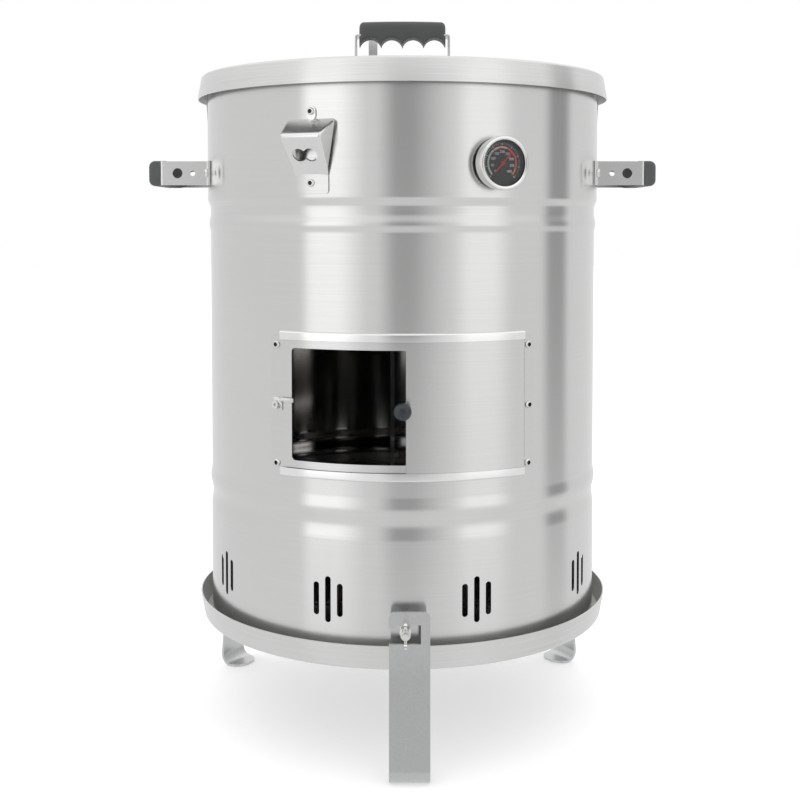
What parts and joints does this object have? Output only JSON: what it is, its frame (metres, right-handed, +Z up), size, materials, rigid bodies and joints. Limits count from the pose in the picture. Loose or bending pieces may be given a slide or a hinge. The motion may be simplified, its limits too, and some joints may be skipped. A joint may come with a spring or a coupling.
{
  "type": "charcoal drum smoker",
  "caption": "Upright round steel drum smoker with lift-off lid, curved sliding door, dial thermometer, bottle opener, side handles and a bayonet base on strap legs.",
  "frame": {"origin": "on the drum's axis at floor level, in the middle of the three feet", "axes": "+Z up along the drum's axis, -Y towards the door and the thermometer side, +X to the right seen from the front"},
  "size_m": [0.558, 0.4747, 0.7694],
  "materials": {
    "brushed_steel": "vertically brushed, satin to bright",
    "leg_steel": "matt rolled",
    "bright_hardware": "plated",
    "dark_steel": "heat-darkened",
    "grate_wire": "plated wire",
    "black_grip": "moulded, fine grain",
    "polished_case": "polished",
    "dial_face": "printed matt black",
    "needle_red": "painted",
    "dial_glass": "clear"
  },
  "bodies": {
    "base": {"base_pan": "brushed_steel", "leg_front": "leg_steel", "leg_right": "leg_steel", "leg_left": "leg_steel", "leg_spacers": "leg_steel"},
    "drum": {"drum_shell": "brushed_steel", "lid_guides": "dark_steel", "door_frame": "brushed_steel", "frame_screws": "bright_hardware", "door_stop": "bright_hardware", "door_catch": "brushed_steel", "opener_hood": "brushed_steel", "opener_screws": "bright_hardware", "side_strap_right": "brushed_steel", "side_strap_left": "brushed_steel", "side_grip_right": "black_grip", "side_grip_left": "black_grip", "side_handle_screws": "bright_hardware", "wall_nuts": "bright_hardware", "thermo_case": "polished_case", "thermo_bezel": "polished_case", "thermo_dial": "dial_face", "thermo_glass": "dial_glass", "thermo_stem": "polished_case", "thermo_nut": "bright_hardware", "grate_brackets": "dark_steel", "leg_bolts": "bright_hardware", "leg_bolt_nuts": "bright_hardware"},
    "door": {"door_panel": "brushed_steel", "knob_stud": "bright_hardware", "door_knob": "black_grip"},
    "lid": {"lid_shell": "brushed_steel", "lid_strap": "brushed_steel", "lid_grip": "black_grip", "lid_handle_screws": "bright_hardware", "lid_nuts": "bright_hardware", "damper_rivet": "bright_hardware"},
    "damper": {"damper_disc": "brushed_steel"},
    "needle": {"thermo_needle": "needle_red"},
    "wing_front": {"wing_nut_front": "bright_hardware"},
    "wing_right": {"wing_nut_right": "bright_hardware"},
    "wing_left": {"wing_nut_left": "bright_hardware"},
    "grate": {"cooking_grate": "grate_wire"},
    "basket": {"basket_wall": "dark_steel", "basket_floor": "dark_steel"},
    "bail": {"basket_bail": "grate_wire"}
  },
  "joints": [
    {"name": "bayonet_turn", "type": "hinge", "parent": "base", "child": "drum", "pos_m": [0, 0, 0.11], "axis": [0, 0, 1], "range_deg": [-6, 2]},
    {"name": "door_slide", "type": "hinge", "parent": "drum", "child": "door", "pos_m": [0, 0, 0.36465], "axis": [0, 0, 1], "range_deg": [-32, 0]},
    {"name": "lid_lift", "type": "slide", "parent": "drum", "child": "lid", "axis": [0, 0, 1], "range_m": [0, 0.25]},
    {"name": "damper_turn", "type": "hinge", "parent": "lid", "child": "damper", "pos_m": [0, 0.085, 0.7052], "axis": [0, 0, 1], "range_deg": [0, 60]},
    {"name": "needle_turn", "type": "hinge", "parent": "drum", "child": "needle", "pos_m": [0.09932, -0.21298, 0.6022], "axis": [0.4226, -0.9063, 0], "range_deg": [-88, 178]},
    {"name": "wing_turn_front", "type": "hinge", "parent": "drum", "child": "wing_front", "pos_m": [0.003, -0.236, 0.1485], "axis": [0, -1, 0], "continuous": true},
    {"name": "wing_turn_right", "type": "hinge", "parent": "drum", "child": "wing_right", "pos_m": [0.20288, 0.1206, 0.1485], "axis": [0.866, 0.5, 0], "continuous": true},
    {"name": "wing_turn_left", "type": "hinge", "parent": "drum", "child": "wing_left", "pos_m": [-0.20588, 0.1154, 0.1485], "axis": [-0.866, 0.5, 0], "continuous": true},
    {"name": "grate_lift", "type": "slide", "parent": "drum", "child": "grate", "axis": [0, 0, 1], "range_m": [0, 0.05]},
    {"name": "basket_lift", "type": "slide", "parent": "base", "child": "basket", "axis": [0, 0, 1], "range_m": [0, 0.15]},
    {"name": "bail_swing", "type": "hinge", "parent": "basket", "child": "bail", "pos_m": [0, 0, 0.222], "axis": [1, 0, 0], "range_deg": [0, 178]}
  ]
}
